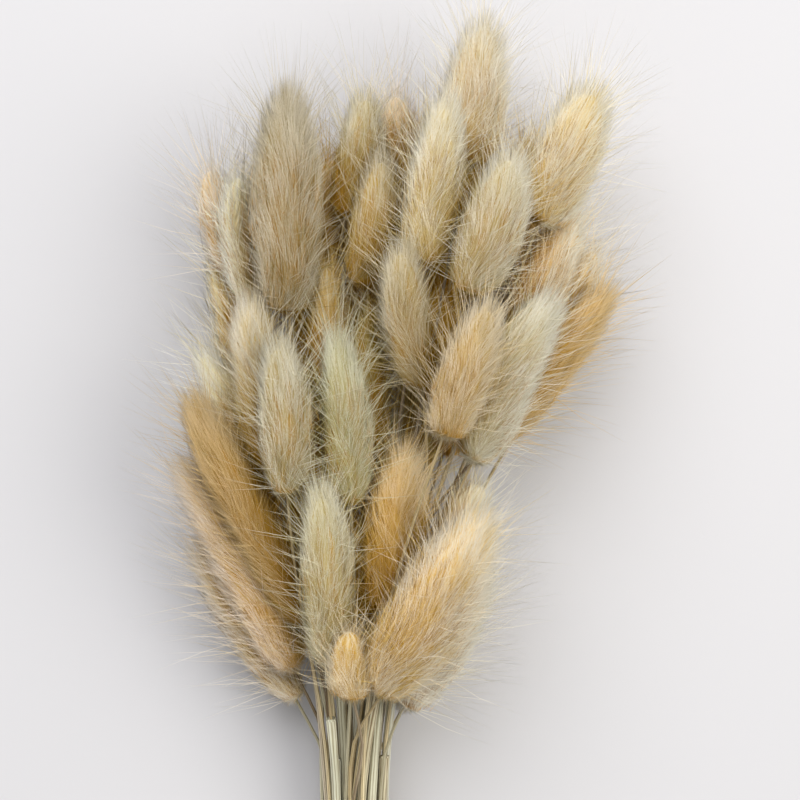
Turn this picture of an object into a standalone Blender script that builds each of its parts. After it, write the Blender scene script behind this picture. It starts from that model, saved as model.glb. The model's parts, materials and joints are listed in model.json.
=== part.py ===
"""A bunch of dried bunny tail grass, laid down and tied with twine.

Fifty-two stalks fan out from the tie. A stalk is one grown piece: a thin culm, on some a wider
leaf sheath round its lower part, and a soft oval head covered in tufts. The bunch lies along Y
with its heads towards +Y, on the plane z = 0, where the lowest heads are pressed flat.

Lengths are in millimetres and become metres where a mesh is made.
"""

import math
from collections import namedtuple

import bmesh
import bpy
import numpy as np
from mathutils import Matrix, Vector
from mathutils.bvhtree import BVHTree

MM = 0.001

# The bundle
TIE_X = -12.0
TIE_Y = -124.0
TIE_Z = 14.0
TIE_HALF = 5.0  # the stalks run straight for this much on both sides of the tie
CUT_Y = -292.0
CUT_Z = 11.0
CUT_STAGGER = 7.0
SPLAY = 1.5  # how much wider the bundle is at its cut ends than at the tie
RINGS = (4, 10, 16, 22)  # stalks in each ring of the tied bundle, from its middle
RING_RADII = (1.3, 3.2, 5.1, 7.0)
GAP = 0.5  # between neighbouring stalks
TIED_RADIUS = 8.8  # of the bundle inside the twine
MIDDLE_X = -1.44  # the middle of the finished bunch, which becomes the origin
MIDDLE_Y = -98.93

# How the stalks find room: they push each other aside and are drawn back to their places
SETTLING = 380  # rounds with both
EASING = 320  # more rounds, at most, in which they only push
LOOK_AGAIN = 12  # rounds between two searches for neighbours
LOOK_FURTHER = 2.0  # millimetres past touching
PUSH = 1.3
PUSH_SIDEWAYS = 0.6  # while settling, so that heads rise or sink rather than leave their places
DRAW_SIDEWAYS = (0.08, 0.03)  # at the start and the end of settling
DRAW_UP = 0.02
DRAW_TIED = 0.06
SMOOTH = (0.12, 0.02)  # while settling and while easing
STRAIGHTEN = 0.4
CLOSE_ENOUGH = 0.05  # millimetres short of GAP
LIGHT_SHARE = 0.05  # a push smaller than this share isn't counted as one

# A stalk
SIDES = 6
CULM = 0.68  # radius
SHEATH = 1.05  # radius
MOUTH_STEP = 0.7  # over this length a sheath's mouth steps down to the culm
NECK = 1.5  # over this length the culm widens into the head's base
STEM_STEP = 20.0  # between the points of a culm above the tie
LEAST_STEPS = 3
LEAVE_TIE = 0.4  # how far a culm keeps the bundle's direction, as a share of its run
MEET_HEAD = 0.35  # how far it keeps its head's direction
BELOW_TIE = 5  # points from the cut end to the tie, the last two of them on both sides of the tie
HEAD_POINTS = 4
CROWD_OUTLINE = (0.6, 1.0, 0.95, 0.4)  # at a head's points, as shares of its crowding radius
FLOOR_OUTLINE = (0.7, 1.0, 0.9, 0.5)  # the same for how low they may lie

# A head, in shares of its half width unless a unit is given
BASE_WIDTH = 0.48
TIP_WIDTH = 0.36
WIDEST = 0.38  # share of the length, from the base
CORE = 0.54
CROWD = 0.72  # neighbours are kept this far out
PRESSED = 0.43  # the lowest heads rest with their axis this high
ROW = 5.3  # millimetres between rows of tufts
LEAST_ROWS = 5
TUFT_LEAN = math.radians(47)
LEAN_SPREAD = 0.1
TUFT_TWIST = 0.2
TUFT_REACH = (0.95, 1.15)
AWN_REACH = (3.0, 5.0)  # millimetres past the half width
AWN_SHARE = 0.22
TIP_TUFT = 6.0  # millimetres
TURN = math.radians(11)  # each row of tufts is turned on from the last
TAPER = 2.5  # power of the narrowing towards the tip
TIP_CLEARANCE = 0.5  # millimetres that every tuft keeps ahead of its tip
TRIM = 0.8  # a tuft in another's way is cut back by this factor, as often as it takes
MOST_TRIMS = 16
SHORTEST = 0.05

# How the places in the table were seen
EYE_HEIGHT = 700.0
PICTURE_PLANE = 30.0

# The twine
TWINE = 0.8  # radius
TWINE_SIDES = 6
TURNS = 4
TURN_PITCH = 2.0
TURN_POINTS = 18
TWINE_GAP = 0.3
KNOT_ANGLE = math.radians(62)
KNOT_SIZE = (2.6, 3.0, 2.0)
CROSSING_GAP = 0.15
END_POINTS = 6  # of a turn's, over which an end comes down from the knot
END_CROSSING = 0.65  # the share of those in which it crosses over the turns
TAIL = 0.9  # of the twine's radius
TAIL_LENGTHS = (17.0, 14.0)
TAIL_POINTS = 7
TAIL_LIFT = 2.0
TAIL_SWEEP = (0.35, 0.55)  # how a tail turns round the bundle, straight and curving, by its length
TAIL_ALONG = 0.45  # how far it runs along the bundle, by its length

HEAD_COLOURS = {
    "cream": "DCCDA6",
    "pale": "D8D2B4",
    "green": "C9C6A4",
    "peach": "DDBB8A",
    "gold": "CB9F5C",
    "tan": "C6A777",
}
CULM_COLOUR = "B9A878"
TWINE_COLOUR = "B58D58"

# Tip and base of each head as seen from above, the height of its middle, its width, its tone, and
# how far up (y) the leaf sheath on its stalk reaches, or None where the culm is bare.
Head = namedtuple("Head", "tip base height width tone mouth")
HEADS = (
    # the heads on top of the bunch
    Head((23, -27), (-6, -77), 43, 23, "peach", None),
    Head((-13, -58), (-10, -77), 37, 13, "gold", None),
    Head((-21, -19), (-19, -69), 41, 15, "cream", -88),
    Head((2, -9), (-3, -55), 34, 18, "peach", -84),
    Head((24, 27), (11, -9), 49, 16, "peach", None),
    Head((-32, 18), (-29, -24), 47, 15, "cream", None),
    Head((-39, 29), (-34, -18), 37, 16, "cream", None),
    Head((-17, 20), (-13, -27), 44, 14, "green", None),
    Head((-55, 3), (-26, -59), 37, 16, "gold", None),
    Head((41, 29), (19, -16), 38, 18, "pale", -92),
    Head((0, 44), (5, 4), 47, 15, "tan", None),
    Head((30, 67), (18, 28), 47, 18, "cream", -78),
    Head((13, 81), (6, 36), 45, 16, "cream", -70),
    Head((-29, 83), (-29, 23), 42, 20, "cream", -86),
    # the heads under them that still show
    Head((-58, -15), (-26, -70), 26, 18, "tan", None),
    Head((23, -43), (0, -80), 29, 14, "pale", None),
    Head((-19, 39), (-16, 0), 33, 13, "gold", None),
    Head((-7, 27), (-8, -18), 31, 12, "green", -96),
    Head((-11, -26), (-8, -56), 26, 11, "tan", None),
    Head((-4, 66), (-10, 30), 36, 15, "tan", -64),
    Head((-9, 82), (-14, 48), 31, 14, "cream", -74),
    Head((23, 101), (17, 61), 31, 19, "tan", -60),
    Head((52, 83), (37, 45), 34, 20, "tan", -82),
    Head((56, 31), (20, -10), 26, 15, "gold", None),
    Head((-53, 16), (-35, -20), 29, 13, "green", None),
    Head((47, 52), (33, 18), 29, 16, "gold", None),
    # the heads deeper in
    Head((-55, -36), (-27, -78), 15, 14, "cream", None),
    Head((22, -19), (10, -44), 24, 15, "pale", None),
    Head((52, 42), (40, 13), 18, 13, "peach", None),
    Head((-42, 62), (-39, 26), 29, 13, "green", -90),
    Head((-50, 63), (-44, 33), 20, 13, "peach", None),
    Head((-2, 82), (1, 55), 20, 13, "tan", -72),
    Head((-17, 66), (-18, 36), 21, 13, "tan", None),
    Head((-38, -13), (-27, -49), 18, 13, "tan", None),
    Head((20, 65), (15, 40), 21, 13, "gold", None),
    Head((31, 21), (20, -10), 20, 14, "green", None),
    # the heads that fill the gaps between these
    Head((-23, 42), (-21, 3), 21, 13, "tan", None),
    Head((10, 34), (8, 0), 25, 13, "gold", None),
    Head((4, 66), (2, 34), 26, 13, "cream", None),
    # the heads at the back, on which the bunch lies
    Head((-29, 72), (-24, 32), 4, 15, "cream", None),
    Head((10, 77), (5, 37), 4, 15, "tan", None),
    Head((45, 46), (29, 8), 4, 15, "peach", None),
    Head((-47, 20), (-34, -18), 4, 15, "cream", None),
    Head((5, 16), (2, -24), 4, 15, "green", None),
    Head((-23, -28), (-15, -66), 5, 14, "peach", None),
    Head((15, -44), (1, -80), 6, 14, "cream", None),
    Head((22, 24), (11, -14), 4, 14, "gold", None),
    # more heads deep in the gaps
    Head((-9, 46), (-9, 8), 12, 13, "tan", None),
    Head((14, 58), (11, 22), 13, 13, "gold", None),
    Head((35, 72), (27, 32), 12, 14, "tan", None),
    Head((-25, 8), (-21, -30), 12, 13, "gold", None),
    Head((-48, 42), (-39, 6), 12, 14, "cream", None),
)


def material(name, colour, roughness):
    """A Principled BSDF with an sRGB hex colour."""
    made = bpy.data.materials.new(name)
    made.use_nodes = True
    shader = made.node_tree.nodes["Principled BSDF"]
    parts = [int(colour[i : i + 2], 16) / 255 for i in (0, 2, 4)]
    linear = [p / 12.92 if p <= 0.04045 else ((p + 0.055) / 1.055) ** 2.4 for p in parts]
    shader.inputs["Base Color"].default_value = (*linear, 1)
    shader.inputs["Roughness"].default_value = roughness
    shader.inputs["Metallic"].default_value = 0
    return made


# Where the stalks run


def head_ends(head):
    """Base and tip of a head's axis, which leans up or down as the stalk fans out of the tie."""
    draw_in = (EYE_HEIGHT - head.height) / (EYE_HEIGHT - PICTURE_PLANE)
    middle_y = (head.tip[1] + head.base[1]) / 2
    slope = (head.height - TIE_Z) / (middle_y - TIE_Y)
    ends = []
    for x, y in (head.base, head.tip):
        z = head.height + slope * (y - middle_y)
        ends.append(np.array((x * draw_in, y * draw_in, max(z, PRESSED * head.width / 2))))
    return ends


def tie_slots():
    """Each stalk's place in the tied bundle: steep stalks outside, level ones in the middle."""
    leans = []
    for head in HEADS:
        base, tip = head_ends(head)
        middle = (base + tip) / 2
        run = middle[1] - TIE_Y
        leans.append(((middle[0] - TIE_X) / run, (middle[2] - TIE_Z) / run))
    leans = np.array(leans)
    order = np.argsort(np.hypot(leans[:, 0], leans[:, 1]), kind="stable")
    slots = np.zeros((len(HEADS), 2))
    start = 0
    for count, radius in zip(RINGS, RING_RADII):
        ring = order[start : start + count]
        start += count
        angles = np.arctan2(leans[ring, 1], leans[ring, 0])
        ring = ring[np.argsort(angles, kind="stable")]
        angles = np.sort(angles, kind="stable")
        even = 2 * math.pi * np.arange(count) / count
        turn = np.angle(np.exp(1j * (angles - even)).sum())
        slots[ring, 0] = radius * np.cos(even + turn)
        slots[ring, 1] = radius * np.sin(even + turn)
    return slots


def first_paths():
    """Each stalk's path from its cut end to its head's tip, before the stalks find room."""
    rng = np.random.default_rng(11)
    paths = []
    for head, (across, up) in zip(HEADS, tie_slots()):
        base, tip = head_ends(head)
        cut_y = CUT_Y + rng.uniform(-1, 1) * CUT_STAGGER
        cut = np.array((TIE_X + across * SPLAY, cut_y, CUT_Z + up * SPLAY))
        low = np.array((TIE_X + across, TIE_Y - TIE_HALF, TIE_Z + up))
        high = low + np.array((0, 2 * TIE_HALF, 0))
        run = np.linalg.norm(base - high)
        along = (tip - base) / np.linalg.norm(tip - base)
        out = high + np.array((0, LEAVE_TIE * run, 0))
        back = base - MEET_HEAD * run * along
        steps = max(LEAST_STEPS, round(run / STEM_STEP))
        points = [cut, cut + (low - cut) / 3, cut + (low - cut) * 2 / 3, low, high]
        for i in range(1, steps):
            t = i / steps
            s = 1 - t
            points.append(s**3 * high + 3 * s * s * t * out + 3 * s * t * t * back + t**3 * base)
        for i in range(HEAD_POINTS):
            points.append(base + (tip - base) * i / (HEAD_POINTS - 1))
        paths.append(np.array(points))
    return paths


def mouth_index(head, path):
    """The path's point where the leaf sheath ends, or 0."""
    if head.mouth is None:
        return 0
    stem = path[: len(path) - HEAD_POINTS]
    return int(np.argmin(np.abs(stem[:, 1] - head.mouth)))


def segment_radii(head, path):
    """Radius at both ends of each stretch of a path."""
    stem = len(path) - HEAD_POINTS
    mouth = mouth_index(head, path)
    rows = [(SHEATH, SHEATH) if i < mouth else (CULM, CULM) for i in range(stem)]
    crowd = [share * CROWD * head.width / 2 for share in CROWD_OUTLINE]
    rows += list(zip(crowd[:-1], crowd[1:]))
    return np.array(rows)


def nearest(p, q, u, v):
    """How far along p-q and u-v their nearest points lie, row by row."""
    d, e, r = q - p, v - u, p - u
    dd, ee, de = (d * d).sum(1), (e * e).sum(1), (d * e).sum(1)
    dr, er = (d * r).sum(1), (e * r).sum(1)
    spread = dd * ee - de * de
    even = spread > 1e-9 * dd * ee
    s = np.where(even, (de * er - dr * ee) / np.where(even, spread, 1), 0.5)
    s = np.clip(s, 0, 1)
    t = np.clip((de * s + er) / ee, 0, 1)
    s = np.clip((de * t - dr) / dd, 0, 1)
    return s, t


class Crowd:
    """All stalks' points in one array, and the stretches between them."""

    def __init__(self, paths):
        self.first = np.cumsum([0] + [len(p) for p in paths])
        self.rest = np.concatenate(paths)
        self.at = self.rest.copy()
        self.starts = np.concatenate([np.arange(len(p) - 1) + f for p, f in zip(paths, self.first)])
        self.radii = np.concatenate([segment_radii(h, p) for h, p in zip(HEADS, paths)])
        self.owner = np.repeat(np.arange(len(paths)), [len(p) - 1 for p in paths])
        low_radii = np.array([SHEATH if head.mouth is not None else CULM for head in HEADS])
        self.floor = np.zeros(len(self.at))
        stem, below = [], []
        for i, head in enumerate(HEADS):
            start, end = self.first[i], self.first[i + 1]
            base = end - HEAD_POINTS
            self.floor[start:base] = low_radii[i]
            self.floor[base:end] = PRESSED * head.width / 2 * np.array(FLOOR_OUTLINE)
            stem += range(start + BELOW_TIE, base + 1)
            below += range(start, start + BELOW_TIE)
        self.stem = np.array(stem)
        self.below = np.array(below)
        self.tied = (self.first[:-1, None] + (BELOW_TIE - 2, BELOW_TIE - 1)).ravel()
        self.tied_room = TIED_RADIUS - np.repeat(low_radii, 2)
        self.bend = self.rest[self.stem] - self.between(self.rest)

    def between(self, points):
        """Halfway between the two neighbours of each culm point."""
        return (points[self.stem - 1] + points[self.stem + 1]) / 2

    def find_neighbours(self):
        """Pairs of stretches of different stalks that are near each other."""
        begin, end = self.at[self.starts], self.at[self.starts + 1]
        middle = (begin + end) / 2
        reach = np.linalg.norm(end - begin, axis=1) / 2 + self.radii.max(axis=1) + LOOK_FURTHER
        near = np.linalg.norm(middle[:, None] - middle[None], axis=2) < reach[:, None] + reach[None]
        near &= self.owner[:, None] < self.owner[None]
        self.pairs = np.nonzero(near)

    def push_apart(self, settling):
        """Move touching stretches apart; returns how far short of GAP the worst pair was."""
        a, b = (self.starts[side] for side in self.pairs)
        radii_a, radii_b = (self.radii[side] for side in self.pairs)
        begin_a, end_a, begin_b, end_b = self.at[a], self.at[a + 1], self.at[b], self.at[b + 1]
        s, t = nearest(begin_a, end_a, begin_b, end_b)
        apart = begin_a + s[:, None] * (end_a - begin_a) - begin_b - t[:, None] * (end_b - begin_b)
        distance = np.linalg.norm(apart, axis=1)
        need_a = radii_a[:, 0] + s * (radii_a[:, 1] - radii_a[:, 0])
        need_b = radii_b[:, 0] + t * (radii_b[:, 1] - radii_b[:, 0])
        short = need_a + need_b + GAP - distance
        hit = short > 0
        push = apart[hit] * (short[hit] / np.maximum(distance[hit], 1e-6))[:, None]
        if settling:
            push[:, :2] *= PUSH_SIDEWAYS
        a, b, s, t = a[hit], b[hit], s[hit], t[hit]
        weight = (1 - s) ** 2 + s**2 + (1 - t) ** 2 + t**2
        move = np.zeros_like(self.at)
        count = np.zeros(len(self.at))
        for point, share, side in ((a, 1 - s, 1), (a + 1, s, 1), (b, 1 - t, -1), (b + 1, t, -1)):
            np.add.at(move, point, side * push * (share / weight)[:, None])
            np.add.at(count, point, share > LIGHT_SHARE)
        self.at += PUSH * move / np.maximum(count, 1)[:, None]
        return short.max()

    def draw_back(self, ease):
        """Draw every point towards its place, less and less as ease goes from 1 to 0."""
        sideways = DRAW_SIDEWAYS[1] + (DRAW_SIDEWAYS[0] - DRAW_SIDEWAYS[1]) * ease
        off = self.rest - self.at
        self.at += off * (sideways, sideways, DRAW_UP * ease)
        self.at[self.below] += DRAW_TIED * (self.rest - self.at)[self.below]

    def straighten_heads(self):
        """Keep each head's axis straight and at its length."""
        shares = np.linspace(-0.5, 0.5, HEAD_POINTS)[:, None]
        for end in self.first[1:]:
            head = slice(end - HEAD_POINTS, end)
            base, tip = self.at[head][0], self.at[head][-1]
            length = np.linalg.norm(self.rest[head][-1] - self.rest[head][0])
            along = (tip - base) / np.linalg.norm(tip - base)
            line = (base + tip) / 2 + shares * along * length
            self.at[head] += STRAIGHTEN * (line - self.at[head])

    def hold(self):
        """Keep the tied points inside the twine, the lower ones at their y, and all above the surface."""
        out = self.at[self.tied][:, [0, 2]] - (TIE_X, TIE_Z)
        distance = np.maximum(np.linalg.norm(out, axis=1), 1e-6)
        out *= np.minimum(1, self.tied_room / distance)[:, None]
        self.at[self.tied, 0] = TIE_X + out[:, 0]
        self.at[self.tied, 2] = TIE_Z + out[:, 1]
        self.at[self.below, 1] = self.rest[self.below, 1]
        self.at[:, 2] = np.maximum(self.at[:, 2], self.floor)

    def find_room(self):
        """The paths after the stalks have pushed each other aside."""
        for turn in range(SETTLING + EASING):
            settling = turn < SETTLING
            if turn % LOOK_AGAIN == 0:
                self.find_neighbours()
            short = self.push_apart(settling)
            if settling:
                self.draw_back(1 - turn / SETTLING)
            elif short < CLOSE_ENOUGH:
                break
            smooth = self.between(self.at) + self.bend
            self.at[self.stem] += SMOOTH[not settling] * (smooth - self.at[self.stem])
            self.straighten_heads()
            self.hold()
        return np.split(np.round(self.at, 3), self.first[1:-1])


# A tube or a stalk as one skin of rings


def ring_frames(points):
    """Sideways and upward directions at each point, carried along the path without a twist."""
    points = np.asarray(points, float)
    steps = np.diff(points, axis=0)
    steps /= np.linalg.norm(steps, axis=1)[:, None]
    tangents = np.vstack([steps[:1], steps[:-1] + steps[1:], steps[-1:]])
    tangents /= np.linalg.norm(tangents, axis=1)[:, None]
    side = np.cross(tangents[0], (0, 0, 1))
    if np.linalg.norm(side) < 0.1:
        side = np.cross(tangents[0], (1, 0, 0))
    frames = []
    for tangent in tangents:
        side = side - tangent * (side @ tangent)
        side /= np.linalg.norm(side)
        frames.append((side, np.cross(tangent, side), tangent))
    return frames


def skin(bm, points, radii, turns, sides):
    """Draw a ring out along the points and close both ends; returns the faces of each stretch."""
    frames = ring_frames(points)

    def spot(i, corner):
        angle = 2 * math.pi * corner / sides + turns[i]
        side, up, _ = frames[i]
        return Vector(MM * (points[i] + radii[i] * (math.cos(angle) * side + math.sin(angle) * up)))

    ring = bmesh.ops.create_circle(bm, segments=sides, radius=1)["verts"]
    for corner, vertex in enumerate(ring):
        vertex.co = spot(0, corner)
    bm.faces.new(reversed(ring))
    stretches = []
    for i in range(1, len(points)):
        edges = [bm.edges.get((ring[k - 1], ring[k])) for k in range(sides)]
        grown = bmesh.ops.extrude_edge_only(bm, edges=edges)["geom"]
        fresh = {v for v in grown if isinstance(v, bmesh.types.BMVert)}
        ring = [next(e.other_vert(v) for e in v.link_edges if e.other_vert(v) in fresh) for v in ring]
        for corner, vertex in enumerate(ring):
            vertex.co = spot(i, corner)
        stretches.append([f for f in grown if isinstance(f, bmesh.types.BMFace)])
    stretches.append([bm.faces.new(ring)])
    return stretches


def swell(t):
    """A head's outline from base (0) to tip (1), as a share of its widest."""
    rise = BASE_WIDTH + (1 - BASE_WIDTH) * math.sin(min(t / WIDEST, 1) * math.pi / 2)
    return rise * (1 - (1 - TIP_WIDTH) * max(0, (t - WIDEST) / (1 - WIDEST)) ** TAPER)


def along_axis(path, share):
    """The point at a share of a head's axis."""
    places = np.linspace(0, 1, HEAD_POINTS)
    return np.array([np.interp(share, places, path[-HEAD_POINTS:, k]) for k in range(3)])


def stem_rings(head, path):
    """Middles and radii of the rings from the cut end to just under the head."""
    mouth = mouth_index(head, path)
    points, radii = [], []
    for i, point in enumerate(path[:-HEAD_POINTS]):
        points.append(point)
        radii.append(SHEATH if mouth and i <= mouth else CULM)
        if mouth and i == mouth:
            step = path[i + 1] - point
            points.append(point + MOUTH_STEP * step / np.linalg.norm(step))
            radii.append(CULM)
    base = path[-HEAD_POINTS]
    step = base - points[-1]
    points.append(base - NECK * step / np.linalg.norm(step))
    radii.append(CULM)
    return points, radii


def tuft_tip(root, base, along, length, half, rng):
    """Where a tuft that grows from root ends: out from the axis and on towards the head's tip."""
    run = (root - base) @ along
    out = root - base - run * along
    out /= np.linalg.norm(out)
    wide = half * swell(min(max(run / length, 0), 1))
    rise = wide * rng.uniform(*TUFT_REACH) - CORE * wide
    if rng.random() < AWN_SHARE:
        rise = wide + rng.uniform(*AWN_REACH) - CORE * wide
    lean = TUFT_LEAN + rng.uniform(-1, 1) * LEAN_SPREAD
    aside = np.cross(along, out) * rise * rng.uniform(-1, 1) * TUFT_TWIST
    return root + rise * out + rise * math.tan(lean) * along + aside


def stalk_mesh(head, path, seed):
    """One stalk's bmesh, and for each tuft its tip's vertex and where its root and its tip are."""
    half = head.width / 2
    points, radii = stem_rings(head, path)
    first_row = len(points)
    base = path[-HEAD_POINTS]
    full = np.linalg.norm(path[-1] - base)
    along = (path[-1] - base) / full
    length = full - TIP_TUFT
    rows = max(LEAST_ROWS, round(length / ROW))
    for i in range(rows + 1):
        points.append(along_axis(path, length / full * i / rows))
        radii.append(CORE * half * swell(i / rows))
    turns = [0.0] * first_row + [TURN * i for i in range(rows + 1)]
    bm = bmesh.new()
    stretches = skin(bm, points, radii, turns, SIDES)
    quads = [face for stretch in stretches[first_row:-1] for face in stretch]
    for face in quads + stretches[first_row - 1] + stretches[-1]:
        face.material_index = 1
    side_tips = bmesh.ops.poke(bm, faces=quads)["verts"]
    side_tips.sort(key=lambda v: [round(c / MM, 2) for c in (v.co.y, v.co.x, v.co.z)])
    rng = np.random.default_rng(seed)
    tufts = []
    for vertex in side_tips:
        root = np.array(vertex.co) / MM
        tip = tuft_tip(root, base, along, length, half, rng)
        tufts.append((vertex, Vector(MM * root), Vector(MM * tip)))
    for vertex in bmesh.ops.poke(bm, faces=stretches[-1])["verts"]:
        root = vertex.co.copy()
        tufts.append((vertex, root, root + Vector(MM * TIP_TUFT * along)))
    return bm, tufts


def place_tips(stalks, lengths, margin):
    """Set each tuft's tip to its share of its full length, and a margin in millimetres past it."""
    for (bm, tufts), shares in zip(stalks, lengths):
        for (vertex, root, tip), share in zip(tufts, shares):
            ray = tip - root
            vertex.co = root + ray * max(share + margin * MM / ray.length, SHORTEST)
        bm.normal_update()


def tufts_in_the_way(stalks):
    """Tufts, as (stalk, tuft) numbers, that cross another stalk."""
    trees, boxes, owners = [], [], []
    for bm, tufts in stalks:
        bm.faces.index_update()
        trees.append(BVHTree.FromBMesh(bm))
        corners = np.array([v.co for v in bm.verts])
        boxes.append((corners.min(axis=0), corners.max(axis=0)))
        owners.append({f.index: k for k, tuft in enumerate(tufts) for f in tuft[0].link_faces})
    found = set()
    for i in range(len(stalks)):
        for j in range(i + 1, len(stalks)):
            if (boxes[i][0] > boxes[j][1]).any() or (boxes[j][0] > boxes[i][1]).any():
                continue
            for mine, other in trees[i].overlap(trees[j]):
                if mine in owners[i]:
                    found.add((i, owners[i][mine]))
                if other in owners[j]:
                    found.add((j, owners[j][other]))
    return found


def keep_clear(stalks):
    """Cut back each tuft that would reach into another stalk."""
    lengths = [[1.0] * len(tufts) for _, tufts in stalks]
    for _ in range(MOST_TRIMS):
        place_tips(stalks, lengths, TIP_CLEARANCE)
        found = tufts_in_the_way(stalks)
        if not found:
            break
        for i, k in found:
            lengths[i][k] *= TRIM
    place_tips(stalks, lengths, 0)


def press_flat(bm):
    """Cut away what would lie below the surface, and close the cut."""
    if min(v.co.z for v in bm.verts) >= 0:
        return
    everything = bm.verts[:] + bm.edges[:] + bm.faces[:]
    bmesh.ops.bisect_plane(
        bm, geom=everything, dist=1e-7, plane_co=(0, 0, 0), plane_no=(0, 0, -1), clear_outer=True
    )
    bmesh.ops.holes_fill(bm, edges=[e for e in bm.edges if e.is_boundary], sides=0)


def add_object(name, bm, materials):
    """A named object from a bmesh."""
    bmesh.ops.triangulate(bm, faces=bm.faces[:])
    bmesh.ops.recalc_face_normals(bm, faces=bm.faces[:])
    mesh = bpy.data.meshes.new(name)
    bm.to_mesh(mesh)
    bm.free()
    for one in materials:
        mesh.materials.append(one)
    made = bpy.data.objects.new(name, mesh)
    bpy.context.collection.objects.link(made)
    return made


# The twine


def tie_point(angle, radius, y):
    """A point round the bundle's axis at the tie."""
    return np.array((TIE_X + radius * math.cos(angle), TIE_Y + y, TIE_Z + radius * math.sin(angle)))


def wrap_points():
    """Turns of twine side by side, from the knot down to the first turn and from the last one back."""
    radius = TIED_RADIUS + TWINE_GAP + TWINE
    over = radius + 2 * TWINE + CROSSING_GAP
    count = TURNS * TURN_POINTS
    points = []
    for i in range(count + 1):
        y = TURN_PITCH * (i - count / 2) / TURN_POINTS
        ends_in = min(i, count - i) / END_POINTS  # 0 at the knot, 1 or more in the turns
        across = ease_in(ends_in / END_CROSSING)
        down = ease_in((ends_in - END_CROSSING) / (1 - END_CROSSING))
        angle = KNOT_ANGLE + 2 * math.pi * i / TURN_POINTS
        points.append(tie_point(angle, over + (radius - over) * down, y * across))
    return points, over


def ease_in(t):
    """A soft step from 0 to 1."""
    t = min(max(t, 0), 1)
    return t * t * (3 - 2 * t)


def tube(name, points, radius, materials):
    """A round cord along the points."""
    bm = bmesh.new()
    skin(bm, np.array(points), [radius] * len(points), [0.0] * len(points), TWINE_SIDES)
    return add_object(name, bm, materials)


def tie(materials):
    """Twine wound round the bundle and knotted, with two short tails."""
    points, over = wrap_points()
    twine = tube("tie", points, TWINE, materials)
    knot_at = tie_point(KNOT_ANGLE, over, 0)
    bm = bmesh.new()
    bmesh.ops.create_icosphere(bm, subdivisions=2, radius=MM)
    bmesh.ops.scale(bm, vec=Vector(KNOT_SIZE), verts=bm.verts)
    bmesh.ops.translate(bm, vec=Vector(MM * knot_at), verts=bm.verts)
    pieces = [add_object("knot", bm, materials)]
    for side, length in zip((1, -1), TAIL_LENGTHS):
        tail = []
        for t in np.linspace(0, 1, TAIL_POINTS):
            sweep = side * length * (TAIL_SWEEP[0] * t + TAIL_SWEEP[1] * t * t) / over
            along = side * TAIL_ALONG * length * t
            tail.append(tie_point(KNOT_ANGLE - sweep, over + TAIL_LIFT * t * t, along))
        pieces.append(tube("tail", tail, TAIL * TWINE, materials))
    parts = bpy.data.collections.new("tie_parts")
    for piece in pieces:
        parts.objects.link(piece)
    join = twine.modifiers.new("join", "BOOLEAN")
    join.operation = "UNION"
    join.operand_type = "COLLECTION"
    join.collection = parts
    join.solver = "EXACT"
    seen = twine.evaluated_get(bpy.context.evaluated_depsgraph_get())
    joined = bpy.data.meshes.new_from_object(seen)
    twine.modifiers.clear()
    twine.data = joined
    for piece in pieces:
        bpy.data.objects.remove(piece)
    bpy.data.collections.remove(parts)


def main():
    for old in list(bpy.data.objects):
        bpy.data.objects.remove(old, do_unlink=True)
    tones = {tone: material(f"{tone}_head", colour, 0.9) for tone, colour in HEAD_COLOURS.items()}
    culm = material("culm", CULM_COLOUR, 0.6)
    paths = Crowd(first_paths()).find_room()
    stalks = [stalk_mesh(head, path, i) for i, (head, path) in enumerate(zip(HEADS, paths))]
    keep_clear(stalks)
    for i, ((bm, _), head) in enumerate(zip(stalks, HEADS), start=1):
        press_flat(bm)
        add_object(f"stalk_{i:02d}", bm, [culm, tones[head.tone]])
    tie([material("twine", TWINE_COLOUR, 0.85)])
    for made in bpy.data.objects:
        made.data.transform(Matrix.Translation((-MM * MIDDLE_X, -MM * MIDDLE_Y, 0)))


main()
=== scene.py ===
"""Looks for a bunch of dried bunny tail grass, built round its packed stalks and tie.

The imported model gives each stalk's path and its head's place and size. Here a stalk gets a smooth
culm with its leaf sheath, and a head of fine hairs with long awns standing out of it, all of it
plain mesh. The tie gets twisted twine.

Lengths are in metres, and MM is a millimetre.
"""

import json
import math
from collections import namedtuple

import bmesh
import bpy
import numpy as np
from bpy.props import FloatProperty, FloatVectorProperty, IntProperty, PointerProperty
from bpy.types import Operator, Panel, PropertyGroup
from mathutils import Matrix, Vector


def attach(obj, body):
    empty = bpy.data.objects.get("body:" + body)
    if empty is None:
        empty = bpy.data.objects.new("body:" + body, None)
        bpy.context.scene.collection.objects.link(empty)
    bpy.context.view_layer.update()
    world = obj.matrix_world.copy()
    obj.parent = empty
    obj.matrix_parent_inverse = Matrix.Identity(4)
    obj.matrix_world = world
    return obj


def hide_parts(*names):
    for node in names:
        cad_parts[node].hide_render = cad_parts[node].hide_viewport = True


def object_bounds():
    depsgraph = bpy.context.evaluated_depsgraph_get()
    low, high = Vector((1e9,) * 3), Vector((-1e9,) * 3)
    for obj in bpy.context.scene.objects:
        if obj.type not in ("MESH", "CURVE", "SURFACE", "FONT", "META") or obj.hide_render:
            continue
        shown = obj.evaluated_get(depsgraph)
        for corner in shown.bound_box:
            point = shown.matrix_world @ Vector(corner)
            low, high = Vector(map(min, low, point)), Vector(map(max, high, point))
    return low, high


bl_info = {
    "name": "Dried bunny tail grass bunch",
    "version": (1, 0, 0),
    "blender": (4, 5, 0),
    "location": "3D View > Sidebar > Bunch",
    "description": "Dresses a packed bunch of dried bunny tail grass with fur, culms and twine",
    "category": "Object",
}

MM = 0.001
MAP = "OFBake"
BODY = "root"

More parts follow.
